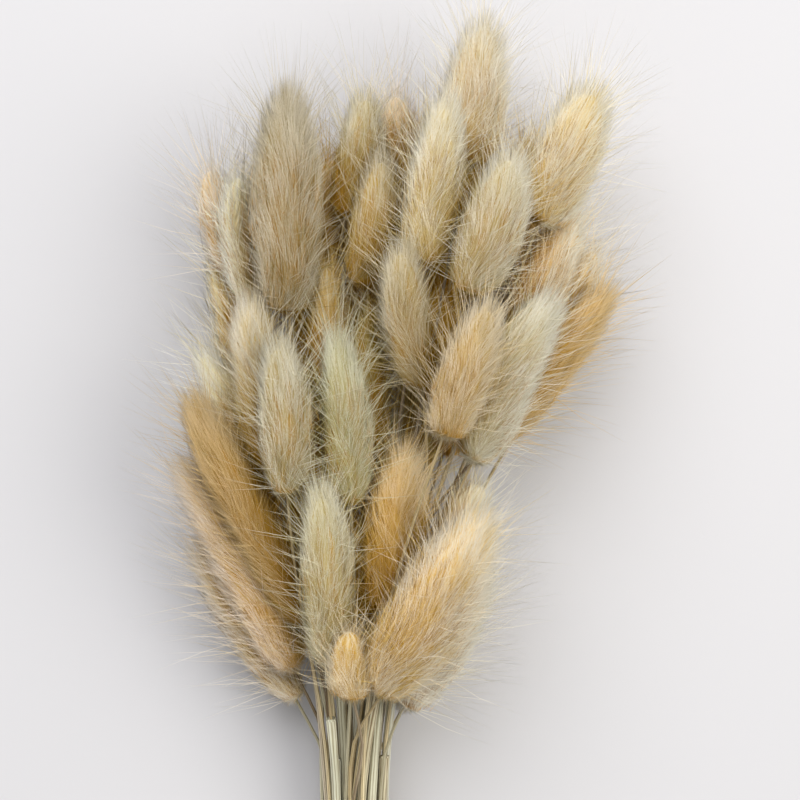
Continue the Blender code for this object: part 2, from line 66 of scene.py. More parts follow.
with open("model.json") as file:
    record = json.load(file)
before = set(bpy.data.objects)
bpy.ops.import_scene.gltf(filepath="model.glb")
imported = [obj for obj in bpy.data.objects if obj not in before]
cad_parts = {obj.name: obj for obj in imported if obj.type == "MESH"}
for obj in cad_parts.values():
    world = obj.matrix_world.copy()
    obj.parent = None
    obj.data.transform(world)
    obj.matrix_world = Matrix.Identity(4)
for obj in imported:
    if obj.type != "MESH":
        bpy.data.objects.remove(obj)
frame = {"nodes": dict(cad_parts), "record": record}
CAD_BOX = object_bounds()

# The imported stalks: a head's core and its base's width are shares of its half width
CORE = 0.54
BASE_WIDTH = 0.48
TIP_TUFT = 6 * MM  # past the last row of the core
PACKED_SIDES = 6
RING_LINK = 1.2 * MM  # more than a side of a packed ring, less than the way to the next ring
MERGE_WITHIN = 1e-6

# The fur's outline. Shares run along a head from its base (0) to its tip (1)
SKEW = 0.86  # below 1, the fullest place is nearer the base than the tip
BLUNT_BELOW = 2.9
BLUNT_ABOVE = 2.5
SLIMNESS = 0.22  # half width by length of a usual head
CYLINDER_SHARE = 0.8  # a head's surface against that of a cylinder round it

# The dense fur under the hairs
UNDERFUR = 0.64  # its radius, as a share of the half width
UNDERFUR_RELIEF = 0.08
UNDERFUR_SIDES = 16
UNDERFUR_ROWS = 12

# Body hairs, which make the plush
SHEAF = 6  # hairs that grow together
SHEAF_ALONG = 1.3 * MM  # how far they scatter along the head and round it
SHEAF_ROUND = 0.8 * MM
TOP_BIAS = 0.5  # how far hairs crowd to the upper side of a head, where they are finer
BASE_TUFT = 0.04  # of the hairs, round a head's base
PLUSH_TOP = 1.05  # where the outermost tips end, 1 being the head's outline
PLUSH_DEPTH = 0.3  # how far below them the others end
STRAYS = 0.07  # of the hairs, which stand out of the plush
STRAY_FROM = 1.04
STRAY_REACH = 0.2
PLUSH_SHARES = (0, 0.04, 0.1, 0.2, 0.5, 0.85, 1)
PLUSH_LEANS = (115, 80, 50, 31, 23, 18, 8)  # degrees off the head's axis, at those shares
SHEAF_LEAN = 3  # degrees, from sheaf to sheaf
HAIR_LEAN = 5
STRAY_LEAN = 8
LOCK_LEANS = (6, 5)  # degrees, in two sizes of lock
SHEAF_SWIRL = 0.45  # millimetres aside, from sheaf to sheaf
HAIR_SWIRL = 0.4
LOCK_SWIRLS = (1.1, 0.8)
SMALL_HALF = 6.5 * MM  # small heads are ragged, and heads from the full one on are even
FULL_HALF = 8 * MM
RAGGED = 0.14
PLUSH_SOFTNESS = 0.45
PLUSH_TONE = 0.73  # tones run from the shaded hairs (0) to the bleached ones (1)
SHEAF_TONE = 0.11  # from sheaf to sheaf
HAIR_TONE = 0.09
# Painted light on a head's shaded underside and sides
UNDERSIDE_PAINTED_LIGHT = 0.16
TIP_TONE = 0.16
# Painted shade on hairs that end below the fur's surface, lighter on those at it
SURFACE_PAINTED_SHADE = 1.1
PATCH_TONE = 0.09

# Awns
AWN_SHARES = (0, 0.3, 0.75, 1)
AWN_LEANS = (58, 42, 31, 17)  # degrees off the head's axis, at those shares
AWN_LEAN = 18  # degrees, from awn to awn
AWN_ASIDE = 0.34
AWN_CUTS = (0.45,)  # where a bent awn bends, from root to tip
BENT = 0.3  # of the awns
AWN_BOW = 0.14
STRAIGHT_WIDTH = 1.25  # a straight awn's width against a bent one's
AWN_SOFTNESS = 0.15
AWN_TONE = 0.88
AWN_TONES = 0.1  # from awn to awn
AWN_SHELTER = 0.75  # how far awns are shaded deep in the bunch, against body hairs
AWN_PALE_FROM = 0.3  # an awn's root is coloured as a body hair is this far from its own root

# Painted shade: hairs deep in the bunch are drawn darker and more golden, by how far the heads round about
# them stand above them
CELL = 3 * MM
SHELTER_REACH = 7 * MM
SHELTER_DEPTHS = (-3 * MM, 2 * MM, 9 * MM)
SHELTER_TONES = (0, 0.18, 0.62)

FLOOR_GAP = 0.15 * MM
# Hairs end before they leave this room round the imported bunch
ROOM = np.array(CAD_BOX) + np.array([[-12, -20, 0], [12, 20, 10.5]]) * MM
# Hardly any hair points this way, and no two corners of a shape are level along it
ODD_WAY = Vector((0.31, 0.17, 0.93))

# How fully each stalk is furred: its first node's number, body hairs to a square millimetre of
# fur, awns to a head of typical size, and the hairs' width against the front ones'
Rank = namedtuple("Rank", "first plush awns width")
RANKS = (Rank(1, 4.4, 480, 1.0), Rank(15, 3.6, 420, 1.05), Rank(27, 2.7, 340, 1.25),
         Rank(37, 1.3, 140, 1.8), Rank(40, 1.2, 160, 2.0), Rank(48, 1.3, 140, 1.8))
TYPICAL_AREA = 2000  # square millimetres of fur

# How light or dark each stalk's fur is (0 is usual; partly its own colour, partly painted light that lifts
# heads lying in shade), then a colour it leans to and how far (0 to 1)
LEANINGS = {
    "green": "D2D2A0",
    "olive": "C4AC58",
    "orange": "ECC05A",
    "yellow": "F4E096",
    "rose": "EBBE98",
    "white": "FAF4E0",
}
Look = namedtuple("Look", "shade leaning amount")
LOOKS = {
    1: (0.0, "orange", 0.15), 2: (-0.5, "yellow", 0.3), 3: (-0.8, "green", 0.3),
    4: (-0.4, "orange", 0.6), 5: (-0.9, "orange", 0.3), 6: (-1.2, "green", 0.1),
    7: (-0.7, "rose", 0.1), 8: (-0.9, "green", 0.4), 9: (-1.3, "orange", 0.8),
    10: (-0.7, "white", 0.15), 11: (-1.0, "olive", 0.4), 12: (-0.9, "white", 0.1),
    13: (-0.5, "white", 0.1), 14: (-1.6, "orange", 0.2), 15: (0.0, "rose", 0.3),
    16: (1.0, "white", 0.9), 17: (0.1, "green", 0.4), 18: (-0.5, "olive", 0.6),
    19: (-0.6, "olive", 0.2), 20: (-0.7, "olive", 0.2), 21: (-1.1, "yellow", 0.15),
    22: (-0.6, "white", 0.1), 23: (-0.1, "yellow", 0.15), 24: (-0.6, "orange", 0.8),
    25: (0.6, "white", 0.3), 26: (1.0, "yellow", 0.2), 27: (1.0, "rose", 0.2),
    28: (0.8, "white", 0.3), 29: (0.6, "rose", 0.1), 30: (1.0, "white", 0.3),
    31: (0.6, "rose", 0.25), 32: (0.8, "rose", 0.3), 33: (-0.2, "rose", 0.3),
    34: (-0.6, "orange", 0.4), 35: (-0.3, "olive", 0.3), 36: (-0.3, "olive", 0.3),
    37: (-0.6, "olive", 0.3), 38: (-0.5, "olive", 0.3), 39: (-0.4, "olive", 0.3),
}
PLAIN_LOOK = (0.2, "white", 0.15)
SHADE_LIFT = 0.4  # how much brighter the body colour is for a shade of 1
BRIGHTEST = 0.95  # for its strongest channel
SHADE_BLEACH = 0.3  # how far a shade of 1 also takes it to the tips' colour
FROST = 0.35  # how much whiter a hair's very tip is

# Culms
CULM_SIDES = 8
CULM_STEP = 7 * MM
IN_HEAD = 0.3  # of the head's length, which the culm reaches into it
JOINTS_AT = (0.12, 0.3)  # the lowest and highest place of a culm's joint, as shares of its length
JOINT_SWELL = 0.22
JOINT_LENGTH = 1.3 * MM
SHEATH_SIDES = 12
SHEATH_STEP = 9 * MM
SHEATH_FROM = 0.9 * MM  # a packed ring wider than this belongs to a leaf sheath
SHEATH_FLARE = 1.12
SHEATH_LINING = 0.76  # the inside of its mouth, as a share of its radius
CULM_MAP = (0.02, 0.48)  # the part of the map's width that a culm has, and a sheath
SHEATH_MAP = (0.52, 0.98)
CULM_RIBS = 0.81 * MM  # from one rib to the next
SHEATH_RIBS = 0.888 * MM
WAVE = 2 * math.pi / 20  # from one band to the next in a Wave texture of scale 1
STREAKS = (34, 9, 1)  # noise cells over the map: 0.3 mm round a culm by 30 mm along it
STAINS = (7, 18, 1)  # 1.3 mm by 16 mm
BROWN_CULMS = (15, 9, 33, 34, 40, 49, 24)
SAGE_CULMS = (8, 18, 25, 27, 30, 36, 16, 43, 45, 51)
PALE_CULMS = (2, 7, 22, 28, 38, 42, 47, 50, 13)

# The tie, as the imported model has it
TIE_AT = Vector((-0.01056, -0.02507, 0.014))
TIED_RADIUS = 8.8 * MM
TWINE_GAP = 0.3 * MM
TWINE_RADIUS = 0.8 * MM
TURNS = 4
TURN_PITCH = 2.0 * MM
KNOT_ANGLE = math.radians(62)
CROSSING_GAP = 0.15 * MM
END_SHARE = 1 / 3  # of a turn, over which an end comes down from the knot
END_CROSSING = 0.65  # the share of that in which it crosses over the turns
TAIL_LENGTHS = (17 * MM, 14 * MM)
TAIL_LIFT = 2 * MM
TAIL_SWEEP = (0.35, 0.55)  # how far a tail bends round the bundle, and more towards its end
TAIL_ALONG = 0.45
TWINE_STEP = 0.9 * MM
YARN = 0.54  # a yarn's radius, as a share of the twine's
YARN_SIDES = 6
FIBRES = (40, 300, 1)  # noise cells over the map: 0.2 mm round a yarn by 1 mm along it
KNOT_POINTS = 40
TAIL_POINTS = 20

# The view: where the photograph's middle lies
PHOTO_X = 0.00144
PHOTO_Y = 0.09893
EYE_HEIGHT = 0.7
PICTURE_PLANE = 0.03
PICTURE_WIDTH = 0.208

# Lights: where each hangs from the middle of the picture, its width and its colour
KEY_LIGHT = ((1.0, 0.15, 1.1), 1.3, "FFFBF4")
FILL_LIGHT = ((-0.3, 1.0, 1.2), 1.6, "FDFCFF")
ROOM_COLOUR = "F5F4F4"
FLOOR_REACH = 2.5


def linear(text):
    """An sRGB hex colour as the linear one that shaders take."""
    parts = [int(text[i : i + 2], 16) / 255 for i in (0, 2, 4)]
    return tuple(p / 12.92 if p <= 0.04045 else ((p + 0.055) / 1.055) ** 2.4 for p in parts)


def colour_field(name, text, description):
    """A colour that a user can change, with an sRGB hex default."""
    return FloatVectorProperty(
        name=name, description=description, default=linear(text), size=3, min=0, max=1, subtype="COLOR"
    )


def length_field(name, millimetres, description):
    """A length that a user can change."""
    return FloatProperty(
        name=name, description=description, default=millimetres * MM, min=0, subtype="DISTANCE",
        unit="LENGTH",
    )


def strength_field(name, value, description):
    """A light's strength that a user can change."""
    return FloatProperty(name=name, description=description, default=value, min=0)


class BunchFur(PropertyGroup):
    """The heads' hairs. Real ones are 0.03 mm thick, and these are drawn coarser, so that they show."""

    hair_width: length_field("Hair width", 0.085, "Thickness of a body hair near its root")
    hair_length: length_field("Hair length", 9.0, "Length of a body hair")
    awn_width: length_field("Awn width", 0.11, "Thickness of a long awn near its root")
    awn_short: length_field("Shortest awn", 11, "Length of the shortest awns")
    awn_long: length_field("Longest awn", 27, "Length of the longest awns")
    seed: IntProperty(name="Seed", description="Start of every random draw", default=7, min=0)


class BunchTones(PropertyGroup):
    """The colour of the hairs' bodies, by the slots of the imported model."""

    cream_head: colour_field("Cream", "F8DF7E", "Hairs of cream heads")
    pale_head: colour_field("Pale", "F8E9A2", "Hairs of the palest heads")
    green_head: colour_field("Green", "EADF7E", "Hairs of heads still a little green")
    peach_head: colour_field("Peach", "FAD76C", "Hairs of peach heads")
    gold_head: colour_field("Gold", "F0BE3C", "Hairs of golden heads")
    tan_head: colour_field("Tan", "F1D272", "Hairs of tan heads")
    # Painted shade: the colour that the fur darkens to between the hairs' roots
    depth: colour_field("Depth", "B68420", "What the tones darken to between the hairs' roots")
    tip: colour_field("Tips", "FDFBF2", "What the tones lighten to at the hairs' tips")


class BunchCulms(PropertyGroup):
    """The stalks' stems and leaf sheaths."""

    culm_radius: length_field("Culm radius", 0.68, "Radius of a culm under its head")
    sheath_radius: length_field("Sheath radius", 1.2, "Radius of a culm in its leaf sheath")
    straw: colour_field("Straw", "F2DEA0", "Ripe culms")
    sage: colour_field("Sage", "DFE0BC", "Leaf sheaths and greener culms")
    brown: colour_field("Brown", "6A4E1E", "Browned culms and the joints on them")


class BunchTwine(PropertyGroup):
    """The twine of the tie."""

    strands: IntProperty(
        name="Strands", description="Yarns twisted into the twine", default=3, min=2, max=5
    )
    lay: length_field("Lay", 4.2, "Length of one whole twist")
    colour: colour_field("Twine", "BC9560", "Natural jute")


class BunchStage(PropertyGroup):
    """Floor, lights and world."""

    paper: colour_field("Paper", "D2D2D4", "The pale floor")
    key_power: strength_field("Key light", 13.3, "Watts of the soft light at the right")
    fill_power: strength_field("Fill light", 20.6, "Watts of the wide light above")
    sky: strength_field("Sky", 0.53, "Strength of the even light from all sides")


def settings(name):
    """One of the groups above, as the scene holds it."""
    return getattr(bpy.context.scene, f"bunch_{name}")


# Shader nodes


def node(tree, kind, inputs=None, stops=(), **choices):
    """Add a shader node: its choices, its ramp's stops, and a value or a feeding socket for each input."""
    made = tree.nodes.new(kind)
    for name, value in choices.items():
        setattr(made, name, value)
    for i, (place, colour) in enumerate(stops):
        ramp = made.color_ramp.elements
        stop = ramp[i] if i < 2 else ramp.new(place)
        stop.position = place
        stop.color = (*colour, 1)
    for name, value in (inputs or {}).items():
        if isinstance(value, bpy.types.NodeSocket):
            tree.links.new(value, made.inputs[name])
        else:
            made.inputs[name].default_value = value
    return made


def ramped(tree, feed, *stops):
    """A socket's value as a colour, by a ramp whose stops are places and colours."""
    return node(tree, "ShaderNodeValToRGB", {0: feed}, stops=stops).outputs[0]


def mix(tree, amount, first, second):
    """Two colours or sockets mixed."""
    inputs = {0: amount, 6: first, 7: second}
    return node(tree, "ShaderNodeMix", inputs, data_type="RGBA").outputs[2]


def noise(tree, place, cells, detail):
    """Noise with this many cells over the map."""
    spread = node(tree, "ShaderNodeMapping", {0: place, 3: cells}).outputs[0]
    return node(tree, "ShaderNodeTexNoise", {"Vector": spread, "Scale": 1.0, "Detail": detail}).outputs[0]


def finish_shader(tree, shader, colour, height=None, strength=0, distance=0):
    """Give a shader its colour, and a relief if there is one."""
    tree.links.new(colour, shader.inputs["Base Color"])
    if height:
        relief = {"Strength": strength, "Distance": distance, "Height": height}
        tree.links.new(node(tree, "ShaderNodeBump", relief).outputs[0], shader.inputs["Normal"])


def new_material(name, roughness, specular=0.5):
    """A material with one Principled BSDF; returns it, its tree and the shader."""
    made = bpy.data.materials.new(name)
    made.use_nodes = True
    shader = made.node_tree.nodes["Principled BSDF"]
    shader.inputs["Roughness"].default_value = roughness
    shader.inputs["Specular IOR Level"].default_value = specular
    shader.inputs["IOR"].default_value = 1.5
    return made, made.node_tree, shader


def blended(a, b, amount):
    """A colour part of the way from a to b."""
    return tuple(x + (y - x) * amount for x, y in zip(a, b))


BLACK = (0, 0, 0)
WHITE = (1, 1, 1)


def fur_material(name, tone, look):
    """Dried grass hair: hollow and silky, so it looks soft, with no gloss. Its tip is bleached, and its
    root is darkened with painted shade.
    """
    tones = settings("tones")
    leaning = linear(LEANINGS[look.leaning])
    body = blended(tone, leaning, look.amount)
    body = tuple(x * min(1 + SHADE_LIFT * look.shade, BRIGHTEST / max(body)) for x in body)
    body = blended(body, tones.tip, SHADE_BLEACH * max(0, look.shade))
    # Painted shade at the hairs' roots, deep in the fur: a dark golden that keeps only a little of the
    # body's colour
    root_shade = blended(tones.depth, tuple(x * 0.6 for x in body), 0.08)
    bleached = blended(tones.tip, leaning, 0.85 * look.amount)
    pale = blended(body, bleached, min(0.94, 0.87 + 0.2 * look.shade))
    frosted = blended(pale, tones.tip, FROST)
    made, tree, shader = new_material(name, 0.62, specular=0.1)
    place = node(tree, "ShaderNodeSeparateXYZ", {0: node(tree, "ShaderNodeUVMap", uv_map=MAP).outputs[0]})
    across, along = place.outputs[0], place.outputs[1]
    # U differs from hair to hair, from the shaded ones to the bleached ones
    hair = ramped(tree, across, (0.1, root_shade), (0.88, pale), (0.35, blended(root_shade, body, 0.42)), (0.6, body))
    # Each hair darkens towards its root: painted shade deep in the fur
    grown = mix(tree, ramped(tree, along, (0.0, BLACK), (0.4, WHITE)), (*root_shade, 1), hair)
    # Tips are bleached only on hairs of high tone, so hairs painted as shaded keep darker tips
    bleach = ramped(tree, along, (0.45, BLACK), (1.0, (0.7,) * 3))
    bleach_unless_shaded = ramped(tree, across, (0.45, BLACK), (0.8, WHITE))
    amount = node(tree, "ShaderNodeMath", {0: bleach, 1: bleach_unless_shaded}, operation="MULTIPLY").outputs[0]
    finish_shader(tree, shader, mix(tree, amount, grown, (*frosted, 1)))
    return made


def rib_scale(radius, spacing):
    """The Wave texture's scale for ribs this far apart round a culm or a sheath."""
    return WAVE * 2 * math.pi * radius / ((CULM_MAP[1] - CULM_MAP[0]) * spacing)


def culm_material(name, light, dark, ribs, stained, shade_under_heads=0.65):
    """Dried culm or leaf sheath: waxy straw, which gives a low gloss, with ribs, stained patches, streaks
    that are partly painted highlights, and painted shade towards its upper end.

    The ribs are drawn 0.8 to 0.9 mm apart, several times as coarse as the real ones, so that they show.
    """
    made, tree, shader = new_material(name, 0.38, specular=0.5)
    place = node(tree, "ShaderNodeUVMap", uv_map=MAP).outputs[0]
    grooves = node(
        tree, "ShaderNodeTexWave",
        {"Vector": place, "Scale": ribs, "Distortion": 2.0, "Detail": 2.0, "Detail Scale": 4.0},
    ).outputs["Fac"]
    ribbed = ramped(tree, grooves, (0.1, dark), (0.55, blended(light, WHITE, 0.2)))
    # Streaks at random, darker and whitish: partly the straw's own fading, partly painted highlights
    faded_and_highlit = ramped(
        tree, noise(tree, place, STREAKS, 3.0),
        (0.38, blended(light, dark, 0.6)), (0.6, blended(light, WHITE, 0.35)),
    )
    where = ramped(
        tree, noise(tree, place, STAINS, 4.0),
        (0.52 - 0.2 * stained, BLACK), (0.72 - 0.2 * stained, (stained,) * 3),
    )
    mixed = mix(tree, where, mix(tree, 0.35, ribbed, faded_and_highlit), (*dark, 1))
    # Darker and browner towards the upper end: painted shade, where the culm runs in under the heads
    along = node(tree, "ShaderNodeSeparateXYZ", {0: place}).outputs[1]
    height = ramped(tree, along, (0.62, BLACK), (0.82, (shade_under_heads,) * 3))
    shaded_near_heads = mix(tree, height, mixed, (*dark, 1))
    finish_shader(tree, shader, shaded_near_heads, grooves, strength=0.7, distance=0.00015)
    return made


def twine_material():
    """Jute yarn: hairy plant fibre, so it is dull, with fibres that run along each yarn, 0.2 mm apart."""
    colour = settings("twine").colour
    made, tree, shader = new_material("jute twine", 0.85, specular=0.2)
    place = node(tree, "ShaderNodeUVMap", uv_map=MAP).outputs[0]
    fibres = noise(tree, place, FIBRES, 3.0)
    shades = ramped(
        tree, fibres, (0.3, tuple(x * 0.55 for x in colour)), (0.7, blended(colour, WHITE, 0.25))
    )
    finish_shader(tree, shader, shades, fibres, strength=0.6, distance=0.0001)
    return made


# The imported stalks


Stalk = namedtuple("Stalk", "number tone stem radii base along full half")


def rings_of(places):
    """Middles and radii of a tube's rings, lowest first. A ring's corners lie close to each other."""
    rings, left = [], list(range(len(places)))
    while left:
        ring = [left.pop()]
        for i in ring:
            near = [j for j in left if np.linalg.norm(places[i] - places[j]) < RING_LINK]
            ring += near
            left = [j for j in left if j not in near]
        if len(ring) >= PACKED_SIDES:  # the imported model drops corners where a tube runs straight
            rings.append(places[ring])
    rings.sort(key=lambda ring: ring[:, 1].mean())
    middles = np.array([ring.mean(axis=0) for ring in rings])
    radii = [np.linalg.norm(ring - middle, axis=1).mean() for ring, middle in zip(rings, middles)]
    return middles, np.array(radii)


def in_order(vertices):
    """Places of bmesh vertices, in an order that is the same each run."""
    return np.array(sorted(v.co[:] for v in vertices))


def read_stalk(name, tone):
    """A stalk's path, ring by ring, and its head's base, direction, length and half width."""
    bm = bmesh.new()
    bm.from_mesh(frame["nodes"][name].data)
    bmesh.ops.remove_doubles(bm, verts=bm.verts, dist=MERGE_WITHIN)
    # The cut end is the first ring
    lowest = min(v.co.y for v in bm.verts)
    ring = set()
    for face in bm.faces:
        if face.normal.y < -0.9 and face.calc_center_median().y < lowest + 2 * MM:
            ring |= set(face.verts)
    stem, base_ring = set(), set()
    while len(ring) < 2 * PACKED_SIDES:  # past the head's base, a ring's neighbours are tufts too
        stem |= base_ring
        base_ring = ring
        ring = {e.other_vert(v) for v in ring for e in v.link_edges} - stem - base_ring
    base = in_order(base_ring).mean(axis=0)

    def evenness(vertex):
        steps = [e.calc_length() for e in vertex.link_edges]
        return (max(steps) - min(steps)) / max(steps)

    # The tuft on the end of the axis is a cone on an even ring
    ends = [v for v in bm.verts if len(v.link_edges) == PACKED_SIDES and v.co.y > base[1] + 5 * MM]
    end = min(ends, key=evenness)
    along = np.array(end.co) - base
    along /= np.linalg.norm(along)
    core = ((in_order(e.other_vert(end) for e in end.link_edges) - base) @ along).mean()
    half = np.linalg.norm(in_order(base_ring) - base, axis=1).mean() / (CORE * BASE_WIDTH)
    middles, radii = rings_of(in_order(stem))
    bm.free()
    return Stalk(int(name[-2:]), tone, middles, radii, base, along, core + TIP_TUFT, half)


def packed_stalks():
    """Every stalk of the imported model, in the order of the nodes' names."""
    tones = {p["node"]: p["material_slot"] for p in frame["record"]["subparts"]}
    names = sorted(n for n in frame["nodes"] if n.startswith("stalk_"))
    return [read_stalk(name, tones[name]) for name in names]


# Fur


def settle(bm):
    """Turn faces outwards and put everything in an order that is the same each run."""
    bmesh.ops.recalc_face_normals(bm, faces=bm.faces[:])
    bm.verts.sort(key=lambda v: v.co.dot(ODD_WAY))
    bm.verts.index_update()
    bm.faces.sort(key=lambda f: f.calc_center_median().dot(ODD_WAY))


def template(kind, cuts=()):
    """A unit shape from bmesh as arrays: places, faces' corners one after another, corners of each face."""
    bm = bmesh.new()
    if kind == "hair":
        bmesh.ops.create_cone(bm, cap_ends=False, segments=3, radius1=1, radius2=0, depth=1)
        bmesh.ops.remove_doubles(bm, verts=bm.verts, dist=1e-4)
        bmesh.ops.translate(bm, verts=bm.verts, vec=(0, 0, 0.5))
        for cut in cuts:
            everything = bm.verts[:] + bm.edges[:] + bm.faces[:]
            bmesh.ops.bisect_plane(bm, geom=everything, plane_co=(0, 0, cut), plane_no=(0, 0, 1))
    else:
        bmesh.ops.create_uvsphere(bm, u_segments=UNDERFUR_SIDES, v_segments=UNDERFUR_ROWS, radius=1)
    settle(bm)
    places = np.array([v.co for v in bm.verts])
    corners = np.array([v.index for f in bm.faces for v in f.verts])
    counts = np.array([len(f.verts) for f in bm.faces])
    if kind == "hair":
        outward = sum(f.normal.dot(Vector((*f.calc_center_median().xy, 0))) for f in bm.faces)
        if outward < 0:
            corners = corners[::-1]
            counts = counts[::-1]
    bm.free()
    return places, corners, counts


def repeat(shape, places, uvs, normals):
    """Many copies of a template, whose places come as (copies, vertices, 3), as one set of arrays."""
    _, corners, counts = shape
    copies, vertices = places.shape[:2]
    offsets = vertices * np.arange(copies)[:, None]
    return (places.reshape(-1, 3), (corners + offsets).ravel(), np.tile(counts, copies),
            uvs.reshape(-1, 2), normals.reshape(-1, 3))


def mesh_from(name, parts):
    """One mesh from several sets of places, corners, counts, map places and normals."""
    mesh = bpy.data.meshes.new(name)
    starts = np.cumsum([0] + [len(p[0]) for p in parts])
    places = np.concatenate([p[0] for p in parts])
    corners = np.concatenate([p[1] + s for p, s in zip(parts, starts)]).astype(np.int32)
    counts = np.concatenate([p[2] for p in parts]).astype(np.int32)
    uvs = np.concatenate([p[3] for p in parts])
    mesh.vertices.add(len(places))
    mesh.vertices.foreach_set("co", places.astype(np.float32).ravel())
    mesh.loops.add(len(corners))
    mesh.loops.foreach_set("vertex_index", corners)
    mesh.polygons.add(len(counts))
    mesh.polygons.foreach_set("loop_start", np.cumsum(counts) - counts)
    mesh.polygons.foreach_set("use_smooth", np.ones(len(counts), bool))
    mesh.uv_layers.new(name=MAP).uv.foreach_set("vector", uvs[corners].astype(np.float32).ravel())
    mesh.update(calc_edges=True)
    mesh.normals_split_custom_set_from_vertices(np.concatenate([p[4] for p in parts]))
    return mesh


def add_piece(name, mesh, materials, nodes):
    """Put a finished mesh in the scene in place of the nodes it stands for."""
    made = bpy.data.objects.new(name, mesh)
    bpy.context.scene.collection.objects.link(made)
    for one in materials:
        mesh.materials.append(one)
    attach(made, BODY)
    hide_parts(*nodes)
    return made


def unit(rows):
    """Each row at length 1."""
    return rows / np.maximum(np.linalg.norm(rows, axis=-1, keepdims=True), 1e-9)


def outline(share):
    """The fur's outline from a head's base (0) to its tip (1), in half widths: blunt below, round above."""
    way = 2 * np.clip(share, 0.0004, 0.9996) ** SKEW - 1
    return np.sqrt(1 - np.abs(way) ** np.where(way < 0, BLUNT_BELOW, BLUNT_ABOVE))


# How much of a head's fur lies below each share of its length
STEPS = np.linspace(0, 1, 301)
FUR = outline(STEPS) * np.sqrt(1 + (SLIMNESS * np.gradient(outline(STEPS), STEPS)) ** 2)
FUR_SO_FAR = np.cumsum(FUR) / FUR.sum()


def fur_area(head):
    """Square millimetres of a head's fur."""
    return 2 * math.pi * CYLINDER_SHARE * head.half * head.full / MM**2


def head_frame(head):
    """A head's upward and sideways directions, square to its axis."""
    side = unit(np.cross(head.along, (0, 0, 1)))
    return np.cross(side, head.along), side


def out_of(head, turn):
    """Directions out of a head's axis, at these angles from its upper side."""
    up, side = head_frame(head)
    return np.cos(turn)[:, None] * up + np.sin(turn)[:, None] * side


def place_in(head, along, out, outward):
    """Places this far along a head's axis and out of it."""
    return head.base + along[:, None] * head.along + out[:, None] * outward


def fur_normal(head, share, outward):
    """Which way the surface of the fur faces."""
    slope = (outline(share + 0.01) - outline(share - 0.01)) / 0.02 * head.half / head.full
    return unit(outward - np.clip(slope, -2.5, 1.2)[:, None] * head.along)


def bend_hairs(shape, root, start, end, length, width, tone, facing, softness, width_power=0.7):
    """Copies of a hair that set out from root along start and turn to end.

    Softness says how far a hair is shaded as the surface of the fur that it lies in.
    """
    places = shape[0]
    level = places[:, 2]
    angle = np.arctan2(places[:, 1], places[:, 0])
    t = level[None, :, None]
    way = t * start[:, None] + t * t / 2 * (end - start)[:, None]
    curve = root[:, None] + length[:, None, None] * way
    heading = unit(start[:, None] + t * (end - start)[:, None])
    side = unit(np.cross(heading, ODD_WAY))
    up = np.cross(heading, side)
    radius = width[:, None] / 2 * (1 - level[None]) ** width_power
    around = np.cos(angle)[None, :, None] * side + np.sin(angle)[None, :, None] * up
    normals = unit(softness * facing[:, None] + (1 - softness) * around)
    uvs = np.empty((*radius.shape, 2))
    uvs[:, :, 0] = tone[:, None] + 0.008 * angle[None] / np.pi
    uvs[:, :, 1] = 0.01 + 0.98 * level[None]
    return curve + radius[:, :, None] * around, np.clip(uvs, 0.002, 0.998), normals


def canopy(heads):
    """How high the bunch stands and how closed it is, cell by cell, smoothed over a head's width."""
    height = np.zeros(np.ceil((ROOM[1] - ROOM[0])[:2] / CELL).astype(int))
    across, share = np.meshgrid(np.linspace(-1, 1, 31), np.linspace(0, 1, 91))
    for head in heads:
        up, side = head_frame(head)
        outward = across[..., None] * side + np.sqrt(1 - across**2)[..., None] * up
        top = head.base + share[..., None] * head.full * head.along
        top = top + (head.half * outline(share))[..., None] * outward
        cells = ((top - ROOM[0]) / CELL).astype(int)
        np.maximum.at(height, (cells[..., 0], cells[..., 1]), top[..., 2])
    steps = np.arange(-6, 7) * CELL / SHELTER_REACH
    weights = np.exp(-(steps**2) / 2)
    layers = np.stack([height, height > 0]).astype(float)
    for axis in (1, 2):
        layers = np.apply_along_axis(np.convolve, axis, layers, weights / weights.sum(), mode="same")
    return layers


def golden(places, cover):
    """How much darker and more golden hairs at these places are painted, as they lie deep in the bunch:
    painted shade.
    """
    cells = np.clip(((places - ROOM[0]) / CELL).astype(int)[:, :2], 0, np.array(cover.shape[1:]) - 1)
    height, closed = cover[:, cells[:, 0], cells[:, 1]]
    tone = np.interp(height - places[:, 2], SHELTER_DEPTHS, SHELTER_TONES)
    # Hairs at the bunch's edge are open to the light
    return tone * np.interp(closed, (0.6, 0.95), (0.25, 1))


def underfur(shape, head, rng):
    """The dense fur under the hairs: the head's outline drawn in, with a soft relief."""
    places = shape[0]
    turn = np.arctan2(places[:, 1], places[:, 0])
    share = (1 + places[:, 2]) / 2
    relief = 1 + UNDERFUR_RELIEF * rng.uniform(-1, 1, len(places))
    radius = UNDERFUR * head.half * outline(share) * relief * np.interp(share, (0, 0.2), (0.6, 1))
    run = (0.06 + 0.82 * share) * head.full
    outward = out_of(head, turn)
    made = place_in(head, run, radius, outward)
    # Painted shade and lighter stripes by turns round the head, lighter at its tip, and near the hairs'
    # root colour, which is painted shade
    step = np.round(turn / (2 * np.pi) * UNDERFUR_SIDES).astype(int)
    uvs = np.stack([np.where(step % 2, 0.15, 0.6) + 0.3 * share**3, 0.05 + 0.35 * share], axis=1)
    return made[None], uvs[None], fur_normal(head, share, outward)[None]


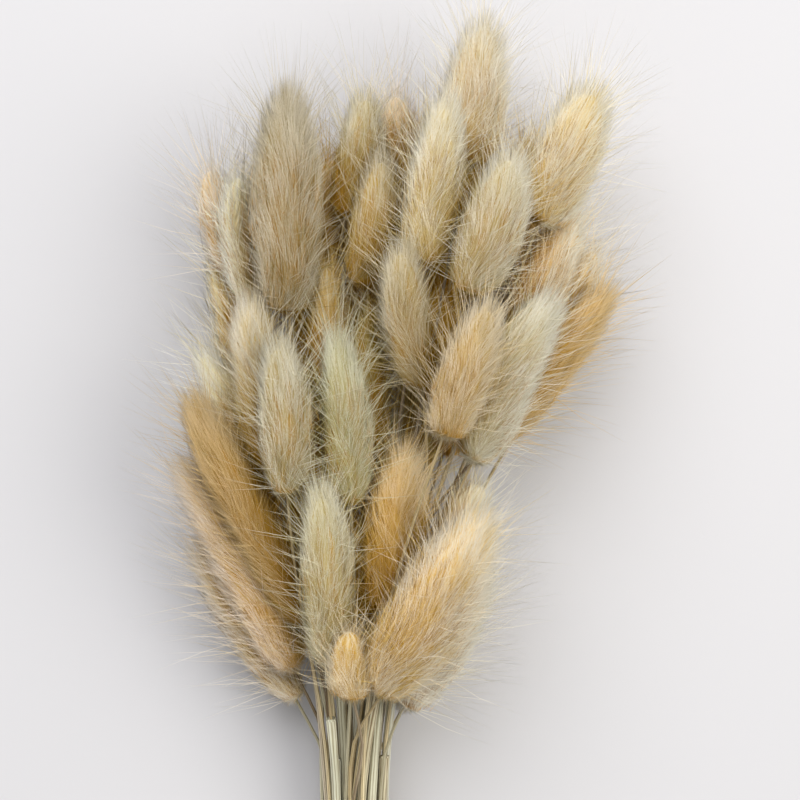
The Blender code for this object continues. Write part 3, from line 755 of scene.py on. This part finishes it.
def body_hairs(shape, head, rank, cover, rng):
    """The plush: fine hairs in sheaves, whose tips lie on the head's outline or a little under it."""
    fur = settings("fur")
    sheaves = int(fur_area(head) * rank.plush / SHEAF)
    count = sheaves * SHEAF

    def each(values):
        return np.repeat(values, SHEAF, axis=0)

    # Sheaves sit on a spiral of golden angles, as spikelets do
    share = np.interp((np.arange(sheaves) + rng.uniform(0, 1, sheaves)) / sheaves, FUR_SO_FAR, STEPS)
    turn = np.arange(sheaves) * math.pi * (3 - math.sqrt(5)) + rng.normal(0, 0.1, sheaves)
    turn = (turn + math.pi) % (2 * math.pi) - math.pi
    finer = np.sqrt(1 - TOP_BIAS * np.cos(turn))
    turn -= TOP_BIAS * np.sin(turn)
    wide = head.half * outline(share)
    share = np.clip(each(share) + rng.normal(0, SHEAF_ALONG, count) / head.full, 0.004, 0.996)
    share = np.where(rng.uniform(0, 1, count) < BASE_TUFT, rng.uniform(0, 0.08, count), share)
    turn = each(turn) + rng.normal(0, SHEAF_ROUND, count) / np.maximum(each(wide), 2 * MM)
    wide = head.half * outline(share)
    outward = out_of(head, turn)
    depth = PLUSH_TOP - PLUSH_DEPTH * rng.uniform(0, 1, count) ** 1.5
    depth -= each(0.03 * rng.uniform(0, 1, sheaves))
    stray = rng.uniform(0, 1, count) < STRAYS
    ragged = np.interp(head.half, (SMALL_HALF, FULL_HALF), (RAGGED, 0))
    depth += ragged * rng.uniform(-1, 1, count)
    depth = np.where(stray, STRAY_FROM + STRAY_REACH * rng.uniform(0, 1, count) ** 1.5, depth)
    lean = np.interp(share, PLUSH_SHARES, PLUSH_LEANS) + each(rng.normal(0, SHEAF_LEAN, sheaves))
    lean += rng.normal(0, HAIR_LEAN, count) + STRAY_LEAN * stray
    # Locks: wide patches of fur that lie a little to one side, flatter or steeper
    lock, other = rng.uniform(0, 2 * math.pi, (2, 3))
    lean += LOCK_LEANS[0] * np.sin(2 * turn + 7 * share + lock[0])
    lean += LOCK_LEANS[1] * np.sin(-3 * turn + 12 * share + lock[1])
    lean = np.radians(lean)
    size = fur.hair_length * rng.uniform(0.75, 1.25, count)
    tip_out = wide * depth
    innermost = wide * np.interp(share, (0.03, 0.12), (0.1, 0.45))
    root_out = np.maximum(tip_out - size * np.sin(lean), innermost)
    tip_at = share * head.full
    root_at = np.maximum(tip_at - size * np.cos(lean), 0.15 * tip_at)
    tip_at = tip_at - (share < 0.08) * rng.uniform(0, 2.6 * MM, count)
    # The tip is a loose spray
    spray = np.interp(share, (0.75, 1), (0, 1)) * rng.uniform(0, 1, count)
    tip_at = tip_at + spray * (2.5 + 2 * stray) * MM
    tip_out = tip_out + np.interp(share, (0.8, 1), (0, 1.3 * MM)) * rng.uniform(0, 1, count)
    aside = np.cross(head.along, outward)
    swirl = each(rng.normal(0, SHEAF_SWIRL, sheaves)) + rng.normal(0, HAIR_SWIRL, count)
    swirl += LOCK_SWIRLS[0] * np.sin(2 * turn + 5 * share + other[0])
    swirl += LOCK_SWIRLS[1] * np.sin(turn + 14 * share + other[1])
    root = place_in(head, root_at, root_out, outward)
    root += (swirl * MM)[:, None] * aside
    reach = place_in(head, tip_at, tip_out, outward) - root
    size = np.linalg.norm(reach, axis=1)
    heading = reach / size[:, None]
    size = size * in_room(root, reach)
    tone = PLUSH_TONE + each(rng.normal(0, SHEAF_TONE, sheaves)) + rng.normal(0, HAIR_TONE, count)
    # Painted shade, deeper in the bunch
    tone -= golden(root + reach, cover)
    # Lighter underneath and at the sides, as painted light where the head lies in shade, lighter towards
    # the head's tip, painted shade on hairs that end below its surface, and lighter in patches
    tone += UNDERSIDE_PAINTED_LIGHT * (1 - np.cos(turn)) + TIP_TONE * (share - 0.45)
    tone += SURFACE_PAINTED_SHADE * (np.minimum(depth, 1) - 0.9)
    tone += PATCH_TONE * np.sin(3 * turn + 9 * share + other[2]) * np.sin(17 * share + lock[2])
    width = fur.hair_width * rank.width * rng.uniform(0.75, 1.25, count) * np.where(stray, 0.65, 1)
    width = width * each(finer) / math.sqrt(1 - TOP_BIAS)
    tone = np.clip(tone, 0.02, 0.98)
    facing = fur_normal(head, share, outward)
    places, uvs, normals = bend_hairs(
        shape, root, heading, heading, size, width, tone, facing, PLUSH_SOFTNESS
    )
    # Round the base and at the tip the roots show, so they aren't shaded there
    bare = np.interp(share, (0.05, 0.25, 0.75, 0.95), (0.4, 0, 0, 0.4))[:, None]
    uvs[:, :, 1] = bare + (1 - bare) * uvs[:, :, 1]
    return places, uvs, normals


def in_room(root, reach):
    """The share of each hair that stays in the room round the bunch."""
    way = np.where(reach > 0, ROOM[1], ROOM[0]) - root
    way[:, 2] = np.where(reach[:, 2] > 0, way[:, 2], 1)  # the floor bends hairs instead
    return np.clip(np.min(np.abs(way) / np.maximum(np.abs(reach), 1e-7), axis=1), 0.1, 1)


def awns(shape, head, count, width, bow, cover, rng):
    """The awns: long thin bristles that stand out of the plush all round."""
    fur = settings("fur")
    share = np.interp(rng.uniform(0, 1, count), FUR_SO_FAR, STEPS)
    turn = rng.uniform(-math.pi, math.pi, count)
    turn += 0.2 * np.sin(2 * turn)  # fewer straight up, where the plush hides their roots
    outward = out_of(head, turn)
    wide = head.half * outline(share)
    root = place_in(head, share * 0.9 * head.full, wide * 0.5, outward)
    lean = np.interp(share, AWN_SHARES, AWN_LEANS) + rng.normal(0, AWN_LEAN, count)
    lean = np.radians(np.clip(lean, 4, 88))
    aside = np.cross(head.along, outward)
    heading = np.sin(lean)[:, None] * outward + np.cos(lean)[:, None] * head.along
    heading = unit(heading + rng.normal(0, AWN_ASIDE, count)[:, None] * aside)
    size = rng.uniform(fur.awn_short, fur.awn_long, count)
    size = size * in_room(root, heading * size[:, None])
    bend = rng.normal(0, bow, (count, 3))
    start = unit(heading - bend)
    end = 2 * heading - start
    middle = root + 0.6 * size[:, None] * heading
    # Awns deep in the bunch get painted shade too, less than body hairs
    tone = AWN_TONE + AWN_TONES * rng.normal(0, 1, count) - AWN_SHELTER * golden(middle, cover)
    tone = np.clip(tone, 0.05, 0.98)
    width = fur.awn_width * width * rng.uniform(0.8, 1.2, count)
    facing = fur_normal(head, share, outward)
    places, uvs, normals = bend_hairs(
        shape, root, start, end, size, width, tone, facing, AWN_SOFTNESS, width_power=0.4
    )
    uvs[:, :, 1] = AWN_PALE_FROM + (0.99 - AWN_PALE_FROM) * uvs[:, :, 1]
    return places, uvs, normals


def bowed(places, head, bow):
    """Bend a head's axis a little: bow says how far and which way at its middle."""
    share = np.clip((places - head.base) @ head.along / head.full, 0, 1)
    return places + (4 * share * (1 - share))[..., None] * bow


def clear_floor(places):
    """Hairs that would go below the surface lie along it."""
    rise = (places[:, :, 2] - places[:, :1, 2]).clip(0)
    places[:, :, 2] = np.maximum(places[:, :, 2], FLOOR_GAP + 0.3 * rise)
    return places


class BUNCH_OT_heads(Operator):
    """Fur every head with body hairs and awns"""

    bl_idname = "bunch.heads"
    bl_label = "Fur the heads"

    def execute(self, context):
        seed = settings("fur").seed
        tones = settings("tones")
        plain_shape = template("hair")
        bent_shape = template("hair", AWN_CUTS)
        core_shape = template("core")
        heads = packed_stalks()
        cover = canopy(heads)
        for head in heads:
            rng = np.random.default_rng((seed, head.number))
            rank = [r for r in RANKS if r.first <= head.number][-1]
            bow = np.cross(head.along, rng.normal(0, 0.9 * MM, 3))
            count = rank.awns * fur_area(head) / TYPICAL_AREA
            straight, bent = int(count * (1 - BENT)), int(count * BENT)
            wide = STRAIGHT_WIDTH * rank.width
            parts = []
            for shape, made in (
                (core_shape, underfur(core_shape, head, rng)),
                (plain_shape, body_hairs(plain_shape, head, rank, cover, rng)),
                (plain_shape, awns(plain_shape, head, straight, wide, 0, cover, rng)),
                (bent_shape, awns(bent_shape, head, bent, rank.width, AWN_BOW, cover, rng)),
            ):
                parts.append(repeat(shape, clear_floor(bowed(made[0], head, bow)), *made[1:]))
            look = Look(*LOOKS.get(head.number, PLAIN_LOOK))
            fur = fur_material(f"dried grass fur {head.number:02d}", getattr(tones, head.tone), look)
            mesh = mesh_from(f"head_{head.number:02d}", parts)
            add_piece(mesh.name, mesh, [fur], [f"stalk_{head.number:02d}"])
        return {"FINISHED"}


# Culms and sheaths


def smooth_path(points, step):
    """Points a step apart on a smooth curve through the given ones."""
    points = np.asarray(points, float)
    gaps = np.linalg.norm(np.diff(points, axis=0), axis=1)
    at = np.concatenate([[0], np.cumsum(gaps)])
    slopes = np.gradient(points, at, axis=0)
    where = np.linspace(0, at[-1], max(2, round(at[-1] / step) + 1))
    i = np.clip(np.searchsorted(at, where, side="right") - 1, 0, len(at) - 2)
    h = (at[i + 1] - at[i])[:, None]
    t = ((where - at[i]) / (at[i + 1] - at[i]))[:, None]
    h00, h10 = 2 * t**3 - 3 * t**2 + 1, t**3 - 2 * t**2 + t
    h01, h11 = -2 * t**3 + 3 * t**2, t**3 - t**2
    return h00 * points[i] + h10 * h * slopes[i] + h01 * points[i + 1] + h11 * h * slopes[i + 1], where


def ring_frames(points):
    """Sideways and upward directions at each point, carried along without a twist."""
    heading = unit(np.gradient(points, axis=0))
    side = unit(np.cross(heading[0], (0, 0, 1)))
    rows = []
    for tangent in heading:
        side = unit(side - tangent * (side @ tangent))
        rows.append((side, np.cross(tangent, side)))
    return rows


def tube(bm, points, radii, sides, outline, u_range, material=0, close=(True, True)):
    """Draw a ring out along points. outline gives each corner's share of the radius."""
    layer = bm.loops.layers.uv.get(MAP) or bm.loops.layers.uv.new(MAP)
    frames = ring_frames(points)
    turns = 2 * np.pi * np.arange(sides) / sides

    def places(i):
        side, up = frames[i]
        around = np.cos(turns)[:, None] * side + np.sin(turns)[:, None] * up
        return points[i] + (radii[i] * outline)[:, None] * around

    def cap(corners, level):
        face = bm.faces.new(corners)
        face.material_index = material
        for k, loop in enumerate(face.loops):
            loop[layer].uv = (low + (high - low) * (k + 0.5) / sides, level + 0.004 * (k % 2))

    ring = bmesh.ops.create_circle(bm, segments=sides, radius=1)["verts"]
    for vertex, place in zip(ring, places(0)):
        vertex.co = place
    low, high = u_range
    if close[0]:
        cap(ring[::-1], 0.001)
    for i in range(1, len(points)):
        edges = [bm.edges.get((ring[k - 1], ring[k])) for k in range(sides)]
        grown = bmesh.ops.extrude_edge_only(bm, edges=edges)["geom"]
        fresh = {v for v in grown if isinstance(v, bmesh.types.BMVert)}
        above = [next(e.other_vert(v) for e in v.link_edges if e.other_vert(v) in fresh) for v in ring]
        for vertex, place in zip(above, places(i)):
            vertex.co = place
        spots = {v: (k, i - 1) for k, v in enumerate(ring)}
        spots.update({v: (k, i) for k, v in enumerate(above)})
        for face in (f for f in grown if isinstance(f, bmesh.types.BMFace)):
            face.smooth = True
            face.material_index = material
            wraps = {spots[v][0] for v in face.verts} == {0, sides - 1}
            for loop in face.loops:
                k, row = spots[loop.vert]
                k = sides if wraps and k == 0 else k
                loop[layer].uv = (low + (high - low) * k / sides, 0.01 + 0.98 * row / (len(points) - 1))
        ring = above
    if close[1]:
        cap(ring, 0.995)


def finish_bmesh(name, bm):
    """A mesh from a bmesh, its faces pointing outwards."""
    settle(bm)
    mesh = bpy.data.meshes.new(name)
    bm.to_mesh(mesh)
    bm.free()
    return mesh


def culm_mesh(stalk, rng):
    """A culm from its cut end into its head, and its leaf sheath if it has one."""
    culms = settings("culms")
    bm = bmesh.new()
    in_head = stalk.base + IN_HEAD * stalk.full * stalk.along
    sheathed = stalk.radii > SHEATH_FROM
    line = np.vstack([stalk.stem, stalk.base, in_head])
    points, where = smooth_path(line, CULM_STEP)
    joint = where[-1] * rng.uniform(*JOINTS_AT)
    swell = 1 + JOINT_SWELL * np.exp(-(((where - joint) / JOINT_LENGTH) ** 2))
    base_radius = culms.culm_radius * (0.95 if sheathed.any() else 1.06)
    radii = base_radius * (1 - 0.5 * (where / where[-1]) ** 1.5) * swell
    points[:, 2] = np.maximum(points[:, 2], radii + FLOOR_GAP)
    tube(bm, points, radii, CULM_SIDES, np.ones(CULM_SIDES), CULM_MAP)
    if sheathed.any():
        upto = np.flatnonzero(sheathed)[-1] + 1
        points, where = smooth_path(stalk.stem[:upto], SHEATH_STEP)
        # Rolled round the culm, its outer edge lying over its inner one
        rolled = 0.94 + 0.11 * np.arange(SHEATH_SIDES) / (SHEATH_SIDES - 1)
        radii = culms.sheath_radius * np.ones(len(points))
        radii[-1] *= SHEATH_FLARE
        # At its mouth it turns in and runs back down along the culm
        out, end = unit(points[-1] - points[-2]), points[-1]
        points = np.vstack([points, end + 0.6 * MM * out, end - 0.5 * MM * out, end - 5 * MM * out])
        lining = culms.sheath_radius * SHEATH_LINING
        radii = np.concatenate([radii, [radii[-1] * 1.02, radii[-1] * 0.86, lining]])
        tube(bm, points, radii, SHEATH_SIDES, rolled, SHEATH_MAP, material=1, close=(True, False))
    return finish_bmesh(f"culm_{stalk.number:02d}", bm)


class BUNCH_OT_culms(Operator):
    """Draw every stalk's culm and leaf sheath"""

    bl_idname = "bunch.culms"
    bl_label = "Draw the culms"

    def execute(self, context):
        culms = settings("culms")
        straw, sage, brown = culms.straw, culms.sage, culms.brown
        ribs = rib_scale(culms.culm_radius, CULM_RIBS)
        sheath_ribs = rib_scale(culms.sheath_radius, SHEATH_RIBS)
        ripe = culm_material("straw culm", straw, blended(brown, straw, 0.2), ribs, 0.3)
        green = culm_material(
            "sage culm", blended(sage, straw, 0.3), blended(brown, sage, 0.3), ribs, 0.25
        )
        dark = culm_material(
            "brown culm", blended(brown, straw, 0.45), blended(brown, BLACK, 0.3), ribs, 0.5
        )
        pale = culm_material("bleached culm", blended(straw, WHITE, 0.3), brown, ribs, 0.2)
        sheaths = [
            culm_material(f"{name} leaf sheath", light, shade, sheath_ribs, stained, shade_under_heads=0.1)
            for name, light, shade, stained in (
                ("sage", sage, blended(sage, brown, 0.75), 0.25),
                ("olive", blended(sage, straw, 0.45), brown, 0.3),
                ("grey", blended(sage, (0.6, 0.62, 0.58), 0.5), blended(brown, sage, 0.3), 0.3),
            )
        ]
        for stalk in packed_stalks():
            rng = np.random.default_rng((3, stalk.number))
            mesh = culm_mesh(stalk, rng)
            skins = ((dark, BROWN_CULMS), (green, SAGE_CULMS), (pale, PALE_CULMS))
            skin = next((skin for skin, numbers in skins if stalk.number in numbers), ripe)
            sheath = sheaths[stalk.number % len(sheaths)]
            add_piece(mesh.name, mesh, [skin, sheath], [f"stalk_{stalk.number:02d}"])
        return {"FINISHED"}


# The tie


def eased(t):
    """A soft step from 0 to 1."""
    t = np.clip(t, 0, 1)
    return t * t * (3 - 2 * t)


def around_tie(angle, radius, y):
    """Points round the bundle's axis at the tie."""
    rows = np.stack([radius * np.cos(angle), y + 0 * angle, radius * np.sin(angle)], axis=-1)
    return np.array(TIE_AT) + rows


def wrap_path(step):
    """The twine's middle: turns side by side, from the knot down to the first and from the last back."""
    radius = TIED_RADIUS + TWINE_GAP + TWINE_RADIUS
    over = radius + 2 * TWINE_RADIUS + CROSSING_GAP
    turn = np.linspace(0, TURNS, round(TURNS * 2 * math.pi * radius / step))
    ends_in = np.minimum(turn, TURNS - turn) / END_SHARE
    across = eased(ends_in / END_CROSSING)
    down = eased((ends_in - END_CROSSING) / (1 - END_CROSSING))
    y = TURN_PITCH * (turn - TURNS / 2)
    return around_tie(KNOT_ANGLE + 2 * math.pi * turn, over + (radius - over) * down, y * across), over


def twisted(bm, path, radius, phase=0.0):
    """Yarns twisted round a path, as thick together as the twine."""
    twine = settings("twine")
    run = np.concatenate([[0], np.cumsum(np.linalg.norm(np.diff(path, axis=0), axis=1))])
    frames = ring_frames(path)
    side, up = (np.array([f[k] for f in frames]) for k in (0, 1))
    yarn = radius * YARN
    for k in range(twine.strands):
        turn = (phase + 2 * math.pi * (run / twine.lay + k / twine.strands))[:, None]
        line = path + (radius - yarn) * (np.cos(turn) * side + np.sin(turn) * up)
        low = 0.02 + 0.96 * k / twine.strands
        part = (low, low + 0.9 / twine.strands)
        tube(bm, line, np.full(len(line), yarn), YARN_SIDES, np.ones(YARN_SIDES), part)


class BUNCH_OT_tie(Operator):
    """Wind and knot the twine"""

    bl_idname = "bunch.tie"
    bl_label = "Tie the bunch"

    def execute(self, context):
        bm = bmesh.new()
        path, over = wrap_path(TWINE_STEP)
        twisted(bm, path, TWINE_RADIUS)
        # The knot: one loop drawn tight across the turns
        t = np.linspace(0, 2 * math.pi, KNOT_POINTS)
        across = (1.1 + 0.5 * np.cos(3 * t)) * np.cos(2 * t)
        along = (1.5 + 0.6 * np.cos(3 * t)) * np.sin(2 * t)
        knot = np.stack([across, along, 0.9 * np.sin(3 * t)], axis=1) * MM
        out = np.array((math.cos(KNOT_ANGLE), 0, math.sin(KNOT_ANGLE)))
        aside = np.array((-math.sin(KNOT_ANGLE), 0, math.cos(KNOT_ANGLE)))
        middle = around_tie(np.array(KNOT_ANGLE), over, 0.0)
        knot = middle + knot[:, :1] * aside + knot[:, 1:2] * (0, 1, 0) + knot[:, 2:] * out
        twisted(bm, knot, TWINE_RADIUS * 0.95, 1.0)
        for hand, length in zip((1, -1), TAIL_LENGTHS):
            t = np.linspace(0, 1, TAIL_POINTS)
            sweep = hand * length * (TAIL_SWEEP[0] * t + TAIL_SWEEP[1] * t * t) / over
            tail = around_tie(KNOT_ANGLE - sweep, over + TAIL_LIFT * t * t, hand * TAIL_ALONG * length * t)
            twisted(bm, tail, TWINE_RADIUS * 0.9, 2.0)
        mesh = finish_bmesh("twine", bm)
        add_piece("twine", mesh, [twine_material()], ["tie"])
        return {"FINISHED"}


# Floor, lights and camera


class BUNCH_OT_stage(Operator):
    """Lay the floor and set up lights and camera"""

    bl_idname = "bunch.stage"
    bl_label = "Set the stage"

    def execute(self, context):
        stage = settings("stage")
        scene = context.scene
        scene.view_settings.view_transform = "Standard"
        bm = bmesh.new()
        bmesh.ops.create_grid(bm, x_segments=1, y_segments=1, size=FLOOR_REACH)
        floor = bpy.data.objects.new("floor", finish_bmesh("floor", bm))
        scene.collection.objects.link(floor)
        # Uncoated paper: it scatters the light evenly, with no gloss
        paper, _, shader = new_material("matte paper", 0.9, specular=0.1)
        shader.inputs["Base Color"].default_value = (*stage.paper, 1)
        floor.data.materials.append(paper)
        middle = Vector((PHOTO_X, PHOTO_Y, PICTURE_PLANE))
        for name, (place, size, colour), power in (
            ("key", KEY_LIGHT, stage.key_power),
            ("fill", FILL_LIGHT, stage.fill_power),
        ):
            lamp = bpy.data.lights.new(name, "AREA")
            lamp.shape = "DISK"
            lamp.size = size
            lamp.energy = power
            lamp.color = linear(colour)
            made = bpy.data.objects.new(name, lamp)
            made.location = middle + Vector(place)
            made.rotation_euler = (-Vector(place)).to_track_quat("-Z", "Y").to_euler()
            scene.collection.objects.link(made)
        world = bpy.data.worlds.new("white room")
        world.use_nodes = True
        background = world.node_tree.nodes["Background"]
        background.inputs[0].default_value = (*linear(ROOM_COLOUR), 1)
        background.inputs[1].default_value = stage.sky
        scene.world = world
        eye = bpy.data.cameras.new("eye")
        eye.sensor_width = 36
        eye.lens = eye.sensor_width * (EYE_HEIGHT - PICTURE_PLANE) / PICTURE_WIDTH
        camera = bpy.data.objects.new("eye", eye)
        camera.location = (PHOTO_X, PHOTO_Y, EYE_HEIGHT)
        scene.collection.objects.link(camera)
        scene.camera = camera
        return {"FINISHED"}


class BUNCH_PT_panel(Panel):
    """Sizes and colours of the bunch"""

    bl_idname = "BUNCH_PT_panel"
    bl_label = "Bunny tail bunch"
    bl_space_type = "VIEW_3D"
    bl_region_type = "UI"
    bl_category = "Bunch"

    def draw(self, context):
        for group, idname in (("fur", "bunch.heads"), ("tones", None), ("culms", "bunch.culms"),
                              ("twine", "bunch.tie"), ("stage", "bunch.stage")):
            box = self.layout.box()
            held = settings(group)
            for name in held.bl_rna.properties.keys():
                if name not in ("rna_type", "name"):
                    box.prop(held, name)
            if idname:
                box.operator(idname)


GROUPS = {
    "fur": BunchFur, "tones": BunchTones, "culms": BunchCulms, "twine": BunchTwine, "stage": BunchStage,
}
OTHER_CLASSES = (BUNCH_OT_heads, BUNCH_OT_culms, BUNCH_OT_tie, BUNCH_OT_stage, BUNCH_PT_panel)


def register():
    """Make Blender know the settings, operators and panel."""
    for name, group in GROUPS.items():
        bpy.utils.register_class(group)
        setattr(bpy.types.Scene, f"bunch_{name}", PointerProperty(type=group))
    for one in OTHER_CLASSES:
        bpy.utils.register_class(one)


def unregister():
    """Take them away again."""
    for one in reversed(OTHER_CLASSES):
        bpy.utils.unregister_class(one)
    for name, group in GROUPS.items():
        delattr(bpy.types.Scene, f"bunch_{name}")
        bpy.utils.unregister_class(group)


def main():
    """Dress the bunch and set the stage."""
    register()
    bpy.ops.bunch.heads()
    bpy.ops.bunch.culms()
    bpy.ops.bunch.tie()
    bpy.ops.bunch.stage()


if __name__ == "__main__":
    main()
